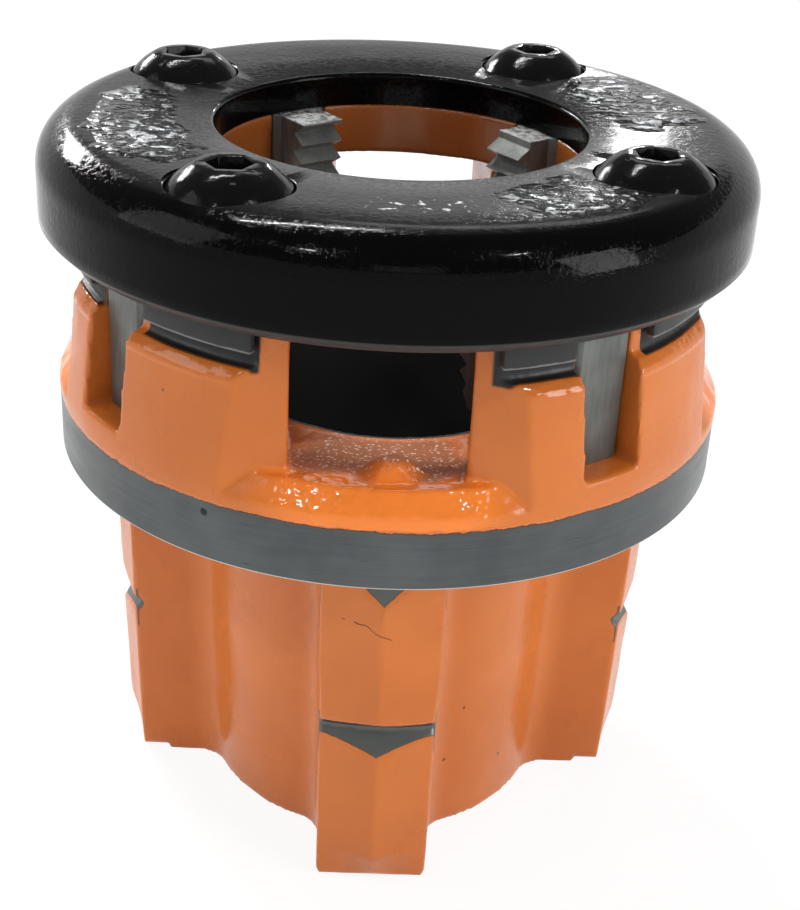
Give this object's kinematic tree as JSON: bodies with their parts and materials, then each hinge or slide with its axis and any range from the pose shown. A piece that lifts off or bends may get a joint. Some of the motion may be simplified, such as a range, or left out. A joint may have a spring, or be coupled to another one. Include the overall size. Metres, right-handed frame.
{
  "type": "pipe threading die head",
  "caption": "Drop-in threading die head: ribbed cast body with a flange, cutting dies in slots between lugs, and a bolted ring cover over them.",
  "frame": {"origin": "middle of the lower end face of the drive end, on the axis of the pipe", "axes": "+Z along the pipe axis, from the drive end up to the cover; -Y through the rib that faces the viewer of the picture; +X to the viewer's right"},
  "size_m": [0.0792, 0.0792, 0.0844],
  "materials": {
    "body_paint": "glossy orange paint on a sand casting, with bare machined band and notches",
    "cover_paint": "thick glossy black paint on a casting",
    "die_steel": "ground tool steel, darkened",
    "screw_steel": "black oxide, oiled"
  },
  "bodies": {
    "root": {"head_body": "body_paint", "cover_plate": "cover_paint", "die_1": "die_steel", "die_2": "die_steel", "die_3": "die_steel", "die_4": "die_steel", "cover_screws": "screw_steel"}
  },
  "joints": []
}
